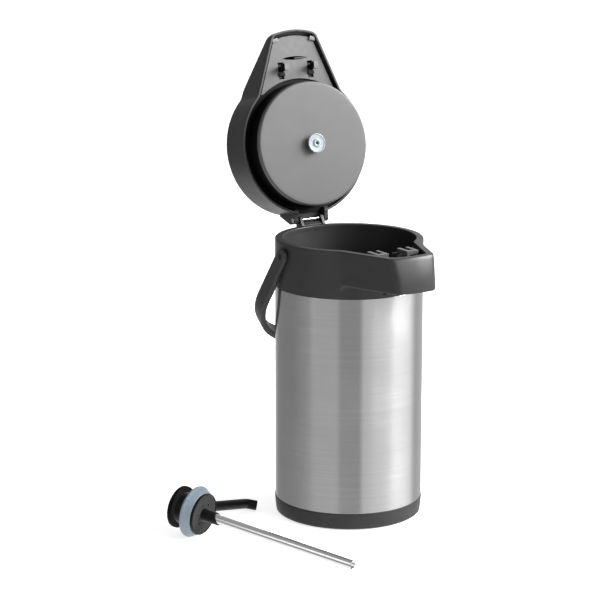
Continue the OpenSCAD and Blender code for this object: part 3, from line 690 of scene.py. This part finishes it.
def bail_handle():
    """Flat strap bail: a rounded-rectangle section swept from one pivot's round end to the other's."""
    cx, cz = HANDLE_X - HANDLE_BEND, HANDLE_BEND - HANDLE_REACH
    right = []
    for k in range(9):
        w = STRAP_HALF_WIDTH * math.cos(math.pi / 2 * k / 8)
        half = math.sqrt(max(STRAP_HALF_WIDTH ** 2 - w ** 2, 0.6))
        right.append((Vector((HANDLE_X, w)), Vector((-1, 0)), STRAP_THIN, half))
    for z in (-6, -12, -18, -24, -30, -36, -42, -50, -58):
        grown = smooth((-z - 18) / 26)
        right.append((Vector((HANDLE_X, z)), Vector((-1, 0)),
                      STRAP_THIN + (STRAP_THICK - STRAP_THIN) * grown, STRAP_HALF_WIDTH))
    for k in range(25):
        a = -math.pi / 2 * k / 24
        out = Vector((math.cos(a), math.sin(a)))
        right.append((Vector((cx, cz)) + out * HANDLE_BEND, -out, STRAP_THICK, STRAP_HALF_WIDTH))
    left = [(Vector((-p.x, p.y)), Vector((-n.x, n.y)), t, h) for p, n, t, h in reversed(right)]
    loops = []
    for point, inward, thick, half in right + left:
        r = min(1.5, thick / 2.5, half * 0.9)
        section = rounded([(0, -half), (thick, -half), (thick, half), (0, half)], r, 4)
        loops.append([(point.x + inward.x * q.x, q.y, point.y + inward.y * q.x) for q in section])
    bm = bmesh.new()
    bridge(bm, loops, cap_first=True, cap_last=True)
    handle = finished("bail_strap", bm, "charcoal_plastic", "handle", HANGING, ["carry_handle"], crisp=60)
    for side, label in ((-1, "left"), (1, "right")):
        outline = [(1.5, -3.4), (6, -3.4, 0.4), (6, 3.4, 0.4), (1.5, 3.4)]
        bm = lathed(rounded(outline, 0.2), 64)
        place = HANGING @ shift(side * 82, 0, 0) @ turn(math.pi / 2, "Y")
        finished(f"pivot_boss_{label}", bm, "charcoal_plastic", "handle", place, crisp=40)
        cap = [(0, 0), (6.4, 0, 0.2), (6.4, 0.35, 0.3), (0, 0.45)]
        bm = lathed(rounded(cap, 0.1, closed=False), 64, closed=False)
        place = HANGING @ shift(side * (HANDLE_X - 0.4), 0, 0) @ turn(side * math.pi / 2, "Y")
        finished(f"pivot_cap_{label}", bm, "black_plastic", "handle", place, crisp=40)
    return handle


# ---- Lid, modelled closed ----

def lid_height(y, drop=0.0):
    share = min((SLOPE_START - y) / (SLOPE_START - SLOPE_END), 1.0)
    return LID_TOP - drop - SLOPE_DROP * (share + math.sqrt(share * share + 0.0016)) / 2


def on_top(distances, drop=0.0):
    """Heights of the lid's top above a loop of distances."""
    return [lid_height(-r * math.cos(d), drop) for r, d in zip(distances, DIRECTIONS)]


def lid_ear(side):
    y, z = HINGE.y, HINGE.z
    outline = rounded([(y - 12, LID_RIM + 0.7), (y - 3.5, z - 4.2, 2), (y + 2.8, z - 3.8, 2.8),
                       (y + 4.5, z - 0.5, 2.2), (y + 4.6, z + 8, 1), (y - 5.5, LID_TOP - 7, 2),
                       (y - 12, LID_TOP - 7)], 0.3)
    x0, x1 = sorted((side * EAR_IN, side * EAR_OUT))
    return side_prism(outline, x0, x1, 0.5)


def hinge_cover():
    """Bar between the ears that covers the hinge from behind."""
    y, z = HINGE.y, HINGE.z + 5.4
    outline = [(y - 8, z), (y + 4.4, z), (y + 4.5, z + 2.5), (y - 5.6, LID_TOP - 7.1),
               (y - 8, LID_TOP - 7.1)]
    return side_prism(rounded(outline, 0.5), -EAR_IN - 0.5, EAR_IN + 0.5, 0.3)


def lid_shell():
    hole = [BUTTON_R + BUTTON_GAP] * COLUMNS
    wall = nose_outline(LID_R, 0)
    loops = [ringed(hole, LID_TOP - 16), ringed(hole, LID_TOP - 0.8),
             ringed([r + 0.25 for r in hole], LID_TOP - 0.25), ringed([r + 0.9 for r in hole], LID_TOP)]
    edge = 3.2
    crown = nose_outline(LID_R, edge)
    start = [r + 0.9 for r in hole]
    for share in (0.06, 0.2, 0.35, 0.5, 0.62, 0.74, 0.84, 0.92, 1.0):
        reach = between(start, crown, share)
        loops.append(ringed(reach, on_top(reach)))
    for k in range(1, 6):
        a = math.pi / 2 * k / 5
        inset = edge * (1 - math.sin(a))
        reach = nose_outline(LID_R, inset)
        fall = edge * (1 - math.cos(a))
        heights = [max(z - fall * 0.95, LID_RIM + 1.2) for z in on_top(crown if k < 5 else reach)]
        loops.append(ringed(reach, heights))
    last = [p[2] for p in loops[-1]]
    for share in (0.35, 0.7):
        loops.append(ringed(wall, [z + (LID_RIM + 0.6 - z) * share for z in last]))
    loops += [ringed(wall, LID_RIM + 0.5), ringed([r - 0.12 for r in wall], LID_RIM + 0.14),
              ringed([r - 0.5 for r in wall], LID_RIM)]
    lining = nose_outline(LID_R, LID_WALL)
    loops += [ringed([r + 0.5 for r in lining], LID_RIM),
              ringed([r + 0.12 for r in lining], LID_RIM + 0.14),
              ringed(lining, LID_RIM + 0.5), ringed(lining, PLATE_LOW)]
    roof = [max(z, PLATE_LOW + 0.3) for z in on_top(lining, 3)]
    loops.append(ringed(lining, roof))
    guide = [BUTTON_R + BUTTON_GAP + 2.5] * COLUMNS
    for share in (0.3, 0.6, 0.9):
        reach = between(lining, guide, share)
        loops.append(ringed(reach, on_top(reach, 3)))
    loops += [ringed(guide, LID_TOP - 3), ringed(guide, LID_TOP - 16)]
    bm = bmesh.new()
    bridge(bm, loops, closed_chain=True)
    bm = combined(bm, ("UNION", lid_ear(-1)), ("UNION", lid_ear(1)), ("UNION", hinge_cover()),
                  ("DIFFERENCE", block(-EAR_IN, EAR_IN, HINGE.y - 12.5, HINGE.y + 7.5, LID_RIM - 1,
                                       HINGE.z + 5.2, 0)),
                  ("DIFFERENCE", block(-5, 5, -86, -75, LID_TOP - 20, LID_TOP + 2, 0)))
    # Turned in its own points, so that its bounds are those of the open lid.
    bmesh.ops.transform(bm, matrix=OPENED, verts=bm.verts)
    finished("lid_shell", bm, "charcoal_plastic", "lid", stands_for=["lid_cover"], crisp=50)


def lid_plate():
    """Recessed plate under the lid's nose: hook slots and a lens-shaped slit with a rib behind it."""
    hole = [PLATE_EDGE] * COLUMNS
    edge = nose_outline(LID_R, LID_WALL + 2.6, BOW_R, 6.4)
    edge = [min(a, b) for a, b in zip(edge, nose_outline(LID_R, LID_WALL + 0.15))]
    loops = [ringed(hole, PLATE_TOP), ringed(hole, PLATE_LOW + 0.4),
             ringed([r + 0.4 for r in hole], PLATE_LOW),
             ringed(between(hole, edge, 0.5), PLATE_LOW), ringed([r - 0.4 for r in edge], PLATE_LOW),
             ringed(edge, PLATE_LOW + 0.4), ringed(edge, PLATE_TOP)]
    bm = bmesh.new()
    bridge(bm, loops, closed_chain=True)
    low, high = PLATE_LOW - 1, PLATE_TOP + 1
    changes = [("DIFFERENCE", block(-100, 100, -60, 100, low, high, 0))]
    for side in (-1, 1):
        x = side * LATCH_X
        changes.append(("DIFFERENCE", block(x - 3.5, x + 3.5, -94.6, -75.6, low, high, 0)))
    slit_y, arc_r, slit_half = -98.6, 91.5, 16.4
    rows = [slit_half * (k / 16 - 1) for k in range(33)]
    bulge = [(math.sqrt(arc_r ** 2 - a * a) - arc_r + 1.5) * 1.3 for a in rows]
    slit = ([(a, slit_y - w) for a, w in zip(rows, bulge)]
            + [(a, slit_y + w) for a, w in zip(rows, bulge)][-2:0:-1])
    changes.append(("DIFFERENCE", prism(slit, high - low, 0, shift(0, 0, low))))
    finished("lid_plate", combined(bm, *changes), "grey_plastic", "lid", OPENED, ["lid_base_plate"],
             crisp=40)
    finished("slit_rib", block(1, 17, slit_y - 0.3, slit_y + 0.6, PLATE_TOP - 0.6, PLATE_TOP + 2.5, 0.2),
             "grey_plastic", "lid", OPENED, crisp=40)
    for side, label in ((-1, "left"), (1, "right")):
        tab = prism([(-3.6, -2.4), (3.6, -2.4), (3.6, 2.4), (-3.6, 2.4)], 3.6, 0.7,
                    shift(side * 24.5, -119.4, PLATE_LOW - 2.6) @ turn(side * 0.25, "Z"))
        finished(f"plate_tab_{label}", tab, "catch_plastic", "lid", OPENED, crisp=40)


def chamber():
    """Air chamber in two looks: black side and flange as painted shade, grey disc face."""
    top, seam = PLATE_TOP, CHAMBER_LOW + 5.2
    side = [(CHAMBER_R - 2, seam), (CHAMBER_R, seam, 0.2), (CHAMBER_R, top, 0.2), (76.9, top, 0.2),
            (76.9, top + 2, 0.2), (CHAMBER_R - 2, top + 2, 0.2)]
    # Painted shade: the side and flange get near-black plastic for the shadow on that side, while the disc
    # face stays grey.
    finished("chamber_wall_painted_shade", lathed(rounded(side, 0.2, 4), FINE_ROUND), "dark_plastic", "lid", OPENED,
             ["bellows_chamber"], crisp=50)
    floor_z = CHAMBER_LOW + 2.5
    steps = [6 + (CHAMBER_R - 8) * k / 12 for k in range(13)]
    disc = [(r, CHAMBER_LOW, 0.1) for r in steps[:-1]]
    disc += [(CHAMBER_R, CHAMBER_LOW, 4.6), (CHAMBER_R, seam - 0.05, 0.05),
             (CHAMBER_R - 2.2, seam - 0.05, 0.1), (CHAMBER_R - 2.2, floor_z, 0.1)]
    disc += [(r, floor_z, 0.1) for r in reversed(steps[:-1])]
    finished("chamber_disc", lathed(rounded(disc, 0.2, 4), FINE_ROUND), "grey_plastic", "lid", OPENED,
             crisp=50)


def nipple():
    low = CHAMBER_LOW
    outline = [(1.9, low - 2, 0.3), (1.9, low - 7.6, 0.3), (3.2, low - 8.2, 0.5), (4.4, low - 7.4, 0.8),
               (5, low - 6.6, 0.8),
               (9.2, low - 6.8, 0.8), (10, low - 7.6, 0.5), (11, low - 7.2, 0.6), (10.4, low - 5.4, 0.8),
               (6.4, low - 3.6, 1), (6, low, 0.3), (6, low + 2.5, 0.2), (8, low + 2.5, 0.3),
               (8, low + 4, 0.6), (2, low + 4, 0.3)]
    finished("soft_nipple", lathed(rounded(outline, 0.3, 5), 128), "white_silicone", "lid", OPENED,
             ["air_nipple"])


def button():
    crown, skirt, r = LID_TOP + BUTTON_RISE, LID_TOP - 14, BUTTON_R
    outline = [(0, crown - 1.6), (12, crown - 1.35, 8), (r - 8, crown - 0.2, 5), (r, crown, 3.2),
               (r, skirt, 0.5),
               (r - 2.5, skirt, 0.5), (r - 2.5, crown - 6, 2), (r - 6, crown - 4.4, 1),
               (4, crown - 4.8, 0.5),
               (4, LID_TOP - 12.2, 0.4), (0, LID_TOP - 12.2)]
    bm = lathed(rounded(outline, 0.4, 6, closed=False), 192, closed=False)
    finished("pump_button", bm, "charcoal_plastic", "button", OPENED, ["push_button"], crisp=50)


def latch():
    """Sliding lock: carrier, thumb piece on the lid's nose and two hooks below, each with a black stem as
    painted shade and a light end slab as painted highlight.
    """
    carrier = PLATE_TOP + 0.4
    parts = [block(-LATCH_X - 4, LATCH_X + 4, -92, -84, carrier, carrier + 3),
             block(-LATCH_X - 4, -LATCH_X + 5, -92, -76, carrier, carrier + 3),
             block(LATCH_X - 5, LATCH_X + 4, -92, -76, carrier, carrier + 3),
             block(-3.5, 3.5, -91, -77, carrier, carrier + 3),
             block(-3.5, 3.5, -81, -76, carrier + 2, carrier + 28)]
    rows = ((-83, 0.3), (-75, 0.3), (-75, 2.5, 0.8), (-78, 1.7, 2), (-83, 2.5, 0.8))
    thumb = rounded([(p[0], lid_height(p[0]) + p[1], *p[2:]) for p in rows], 0.2)
    parts.append(side_prism(thumb, -8, 8, 0.4))
    bm = parts[0]
    for part in parts[1:]:
        bm = combined(bm, ("UNION", part))
    finished("latch_carrier", bm, "black_plastic", "latch", OPENED, ["latch_slider"], crisp=40)
    for side, label in ((-1, "left"), (1, "right")):
        x = side * LATCH_X
        hook = rounded([(-84.6, carrier + 1), (-90, carrier + 1), (-90, HOOK_LOW + 3.6, 0.6),
                        (-92.6, HOOK_LOW + 3.3, 0.5), (-92.6, HOOK_LOW + 0.6, 0.4),
                        (-84.6, HOOK_LOW + 0.6, 0.8)],
                       0.2, 3)
        # Painted shade: each hook's stem is near-black plastic for its shaded side.
        finished(f"latch_hook_{label}", side_prism(hook, x - 2.5, x + 2.5, 0.4), "dark_plastic", "latch",
                 OPENED, crisp=40)
        # Painted highlight: a thin light slab on each hook's end stands in for its lit end face.
        tip = block(x - 2.4, x + 2.4, -92.4, -84.8, HOOK_LOW, HOOK_LOW + 1, 0.3)
        finished(f"hook_painted_highlight_{label}", tip, "catch_plastic", "latch", OPENED, crisp=40)
        stop = block(x - 4, x + 4, -83.2, -79.0, PLATE_LOW - 1.6, PLATE_LOW - 0.1, 0.4)
        finished(f"latch_stop_{label}", stop, "dark_plastic", "latch", OPENED, crisp=40)


# ---- Pump stopper, modelled upright ----

def stopper():
    top = STOPPER_TOP
    flange = [(4, FLANGE_LEVEL + 0.6), (FLANGE_R, FLANGE_LEVEL + 0.6, 1.2), (FLANGE_R, top, 1.4),
              (18.5, top, 0.8),
              (17.5, top - 1.4, 0.8), (10.5, top - 1.4, 0.8), (9, top - 0.2, 0.8), (4, top - 3, 0.5)]
    finished("stopper_cap", lathed(rounded(flange, 0.3, 5)), "dark_plastic", "stopper", LAID,
             ["stopper_flange"],
             crisp=50)
    core, s = 17.5, SEAL_LEVEL
    body = [(6, 3), (22.9, 3, 0.6), (22.9, s - 4.1, 0.5), (19, s - 4.1, 0.2), (19, s + 4.1, 0.2),
            (21.5, s + 4.1, 0.4),
            (21.5, s + 5.2, 0.5), (core, s + 6.5, 1.2), (core, FLANGE_LEVEL + 0.6, 1.0),
            (6, FLANGE_LEVEL + 0.6)]
    socket = lathed(rounded([(SPOUT_R + 0.02, 0), (6.6, 0, 0.2), (6.6, 5.5, 0.4),
                             (SPOUT_R + 0.02, 5.5, 0.2)], 0.1), 64)
    bmesh.ops.transform(socket, matrix=ALONG_SPOUT @ shift(0, 0, core - 2.5), verts=socket.verts)
    bore = lathed([(0, 0), (SPOUT_R, 0), (SPOUT_R, 30), (0, 30)], 48, closed=False)
    bmesh.ops.transform(bore, matrix=ALONG_SPOUT @ shift(0, 0, 14), verts=bore.verts)
    bm = combined(lathed(rounded(body, 0.2, 4)), ("UNION", socket), ("DIFFERENCE", bore))
    finished("stopper_spool", bm, "black_plastic", "stopper", LAID, ["stopper_body"], crisp=50)
    seal = [(19.05, s - 4, 0.2), (22.95, s - 4, 0.2), (22.95, 3.2, 0.2), (23.9, 3.1, 0.5),
            (SEAL_R - 1.3, s - 1.6, 1.5),
            (SEAL_R, s + 0.3, 0.6), (SEAL_R - 0.3, s + 2, 0.6), (SEAL_R - 1.6, s + 2.9, 0.7),
            (25.2, s + 3.9, 0.8),
            (19.05, s + 3.8, 0.2)]
    finished("seal_ring", lathed(rounded(seal, 0.3, 5)), "blue_silicone", "stopper", LAID, ["stopper_seal"])


def vent():
    """Vent plate: a black rim round a grey disc, with six small holes."""
    rim = [(21.9, 0.9), (21.9, 0, 0.5), (23.2, 0, 0.5), (23.2, 3, 0.4), (21.9, 3)]
    finished("vent_rim", lathed(rounded(rim, 0.3, 4)), "black_plastic", "stopper", LAID, ["vent_plate"],
             crisp=50)
    disc = [(6.1, 0.7, 0.2), (14, 0.7, 0.1), (21.8, 0.7, 0.2), (21.8, 3, 0.2), (6.1, 3, 0.2)]
    holes = []
    for k in range(6):
        a = math.radians(30 + 60 * k)
        hole = lathed([(0, -2), (1.15, -2), (1.15, 6), (0, 6)], 24, closed=False)
        bmesh.ops.translate(hole, vec=(11.7 * math.cos(a), 11.7 * math.sin(a), 0), verts=hole.verts)
        holes.append(("DIFFERENCE", hole))
    bm = combined(lathed(rounded(disc, 0.2, 3)), *holes)
    finished("vent_disc", bm, "vent_plastic", "stopper", LAID, crisp=40)


def connector():
    c = CONNECTOR_LENGTH + 5
    outline = [(SIPHON_R + 0.05, -c), (6.5, -c, 0.4), (6.9, -4, 2), (7.4, -0.3, 0.6), (7.4, 0.6, 0.2),
               (6, 0.7, 0.2),
               (6, 6, 0.2), (SIPHON_R + 0.05, 6)]
    bm = lathed(rounded(outline, 0.2, 4), 96)
    cut = block(-20, 20, -20, 20, -20, 0, 0)
    bmesh.ops.transform(cut, matrix=shift(0, 0, 2.5 - c) @ turn(math.radians(30), "Y"), verts=cut.verts)
    finished("pipe_connector", combined(bm, ("DIFFERENCE", cut)), "black_plastic", "stopper", LAID,
             ["tube_connector"], crisp=50)


def pipes():
    siphon = [(0, 0, 4 - (SIPHON_LENGTH + 4) * k / 24) for k in range(25)]
    finished("siphon_pipe", tube(siphon, SIPHON_R, SIPHON_R - 0.6, 60, 64), "polished_tube", "stopper",
             LAID,
             ["siphon_tube"], crisp=60)
    bend_r = 10.0
    reach = bend_r * math.tan(TIP_BEND / 2)
    route = [Vector((0, 0, 14.2 + (SPOUT_REACH - reach - 14.2) * k / 10)) for k in range(11)]
    for k in range(1, 9):
        a = TIP_BEND * k / 8
        route.append(Vector((0, -bend_r * (1 - math.cos(a)), SPOUT_REACH - reach + bend_r * math.sin(a))))
    ahead = Vector((0, -math.sin(TIP_BEND), math.cos(TIP_BEND)))
    elbow_end = route[-1]
    for k in range(1, 4):
        route.append(elbow_end + ahead * ((TIP_LENGTH - reach) * k / 3))
    spout = tube(route, SPOUT_R, SPOUT_R - 1.3, 30, 48)
    finished("spout_tube", spout, "black_plastic", "stopper", LAID @ ALONG_SPOUT, ["spout_pipe"], crisp=60)


# ---- CAD nodes that stay as they are ----

KEPT = {
    "base_swivel_disc": "black_plastic", "base_foot_ring": "black_rubber", "bottom_cover": "black_plastic",
    "bottom_screws": "bright_steel", "swivel_retainer": "bright_steel", "flask_liner": "bright_steel",
    "vacuum_bottom": "steel_sheet", "neck_gasket": "white_silicone", "handle_retainers": "bright_steel",
    "chamber_screws": "bright_steel", "bellows": "black_rubber", "button_spring": "steel_sheet",
    "bellows_plate": "grey_plastic", "spout_o_ring": "black_rubber", "check_ball": "bright_steel",
}


def dress_kept_nodes():
    for name, slot in KEPT.items():
        node = frame["nodes"][name]
        node.data.materials.clear()
        node.data.materials.append(MATERIALS[slot])


# ---- Studio ----

CAMERA_AT = Vector((-1.3290, -2.1176, 0.8114))
CAMERA_AIM = Vector((0.5002, 0.8371, -0.2218))
CAMERA_LENS = 137.86


def camera():
    data = bpy.data.cameras.new("camera")
    data.lens = CAMERA_LENS
    data.sensor_width = 36.0
    data.clip_start, data.clip_end = 0.05, 60.0
    made = bpy.data.objects.new("camera", data)
    bpy.context.scene.collection.objects.link(made)
    made.location = CAMERA_AT
    made.rotation_euler = CAMERA_AIM.to_track_quat("-Z", "Y").to_euler()
    bpy.context.scene.camera = made


def softbox(name, azimuth, elevation, distance, width, height, power):
    """Area light aimed at the pot. azimuth is in degrees to the right of the camera's side."""
    a = math.atan2(-CAMERA_AIM.y, -CAMERA_AIM.x) + math.radians(azimuth)
    e = math.radians(elevation)
    data = bpy.data.lights.new(name, "AREA")
    data.shape, data.size, data.size_y, data.energy = "RECTANGLE", width, height, power
    made = bpy.data.objects.new(name, data)
    bpy.context.scene.collection.objects.link(made)
    out = Vector((math.cos(a) * math.cos(e), math.sin(a) * math.cos(e), math.sin(e)))
    made.location = Vector((0, 0, 0.25)) + out * distance
    made.rotation_euler = (-out).to_track_quat("-Z", "Y").to_euler()


def surroundings():
    """Pale studio room: brightness by compass direction, an even grey overhead and brighter below."""
    world = bpy.data.worlds.new("studio")
    bpy.context.scene.world = world
    world.use_nodes = True
    tree = world.node_tree
    tree.nodes.clear()
    out = tree.nodes.new("ShaderNodeOutputWorld")
    background = tree.nodes.new("ShaderNodeBackground")
    place = tree.nodes.new("ShaderNodeTexCoord")
    spin = tree.nodes.new("ShaderNodeMapping")
    spin.vector_type = "POINT"
    spin.inputs["Rotation"].default_value = (0, 0, -math.atan2(-CAMERA_AIM.y, -CAMERA_AIM.x))
    apart = tree.nodes.new("ShaderNodeSeparateXYZ")
    around = tree.nodes.new("ShaderNodeMath")
    around.operation = "ARCTAN2"
    share = tree.nodes.new("ShaderNodeMapRange")
    share.inputs["From Min"].default_value = -math.pi
    share.inputs["From Max"].default_value = math.pi
    ramp = tree.nodes.new("ShaderNodeValToRGB")
    # degrees to the right of the camera's side, brightness
    stops = [(-180, 0.70), (-162, 0.58), (-146, 0.30), (-122, 0.26), (-95, 0.23), (-72, 0.29),
             (-50, 0.44), (-20, 0.44),
             (-13, 0.26), (16, 0.26), (22, 0.62), (60, 0.78), (84, 0.92), (111, 0.96), (126, 0.50),
             (180, 0.70)]
    line = ramp.color_ramp
    while len(line.elements) > 1:
        line.elements.remove(line.elements[-1])
    line.elements[0].position = (stops[0][0] + 180) / 360
    line.elements[0].color = grey(stops[0][1])
    for angle, tone in stops[1:]:
        line.elements.new((angle + 180) / 360).color = grey(tone)
    rise = tree.nodes.new("ShaderNodeMapRange")
    rise.inputs["From Min"].default_value = 0.35
    rise.inputs["From Max"].default_value = 0.75
    fall = tree.nodes.new("ShaderNodeMapRange")
    fall.inputs["From Min"].default_value = -0.35
    fall.inputs["From Max"].default_value = -0.60
    below = tree.nodes.new("ShaderNodeMix")
    below.data_type = "RGBA"
    below.inputs["B"].default_value = grey(1.15)
    above = tree.nodes.new("ShaderNodeMix")
    above.data_type = "RGBA"
    above.inputs["B"].default_value = grey(0.35)
    link = tree.links.new
    link(place.outputs["Generated"], spin.inputs["Vector"])
    link(spin.outputs["Vector"], apart.inputs["Vector"])
    link(apart.outputs["Y"], around.inputs[0])
    link(apart.outputs["X"], around.inputs[1])
    link(around.outputs["Value"], share.inputs["Value"])
    link(share.outputs["Result"], ramp.inputs["Fac"])
    link(apart.outputs["Z"], rise.inputs["Value"])
    link(rise.outputs["Result"], above.inputs["Factor"])
    link(ramp.outputs["Color"], above.inputs["A"])
    link(apart.outputs["Z"], fall.inputs["Value"])
    link(fall.outputs["Result"], below.inputs["Factor"])
    link(above.outputs["Result"], below.inputs["A"])
    link(below.outputs["Result"], background.inputs["Color"])
    link(background.outputs["Background"], out.inputs["Surface"])


def floor():
    bm = bmesh.new()
    bmesh.ops.create_grid(bm, x_segments=8, y_segments=8, size=20.0)
    mesh = bpy.data.meshes.new("studio_floor")
    bm.to_mesh(mesh)
    bm.free()
    made = bpy.data.objects.new("studio_floor", mesh)
    bpy.context.scene.collection.objects.link(made)
    s = Shader("floor_white")
    s.feed(s.surface.inputs["Base Color"], s.mixed(s.noise(s.place, 3.0), grey(0.90), grey(0.93)))
    s.surface.inputs["Roughness"].default_value = 0.9
    s.surface.inputs["Specular IOR Level"].default_value = 0.1
    s.surface.inputs["Emission Color"].default_value = grey(1.0)
    s.surface.inputs["Emission Strength"].default_value = 0.7
    mesh.materials.append(s.material)
    made.visible_glossy = False


def studio():
    camera()
    surroundings()
    floor()
    softbox("key_right", 92, 31, 2.6, 1.8, 1.3, 200)
    softbox("front_fill", 52, 28, 3.0, 1.5, 1.1, 36)
    softbox("tube_strip", -57, 22, 2.5, 0.3, 1.6, 1.7)
    bpy.context.scene.view_settings.view_transform = "Standard"


base_skirt()
steel_body()
collar_shell()
bowl_lining()
nose_shelf()
catch_brackets()
pin()
bail_handle()
lid_shell()
lid_plate()
chamber()
nipple()
button()
latch()
stopper()
vent()
connector()
pipes()
dress_kept_nodes()
studio()
